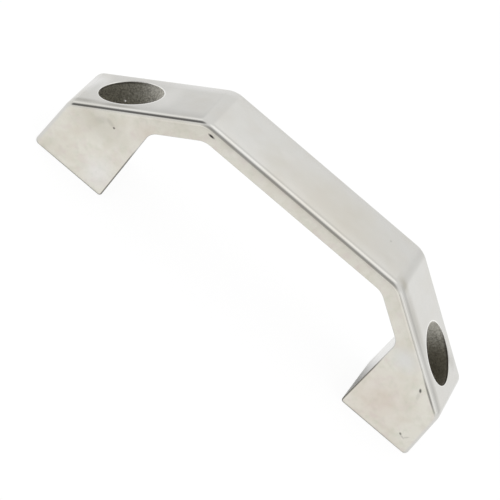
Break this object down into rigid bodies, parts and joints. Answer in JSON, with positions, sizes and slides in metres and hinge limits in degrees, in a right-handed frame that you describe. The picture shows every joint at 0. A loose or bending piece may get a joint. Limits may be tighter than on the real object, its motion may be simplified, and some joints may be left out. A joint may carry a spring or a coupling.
{
  "type": "bridge pull handle",
  "caption": "Cast stainless bridge pull handle: a level grip between sloping arms on block feet, each foot with an upright counterbored screw hole.",
  "frame": {"origin": "on the plane of both feet, midway between the two screw holes", "axes": "+X along the grip, +Y across it, +Z from the panel to the grip"},
  "size_m": [0.1476, 0.024, 0.046],
  "materials": {
    "stainless": "investment-cast stainless steel, tumbled and polished to a soft satin shine"
  },
  "bodies": {
    "root": {"handle": "stainless"}
  },
  "joints": []
}
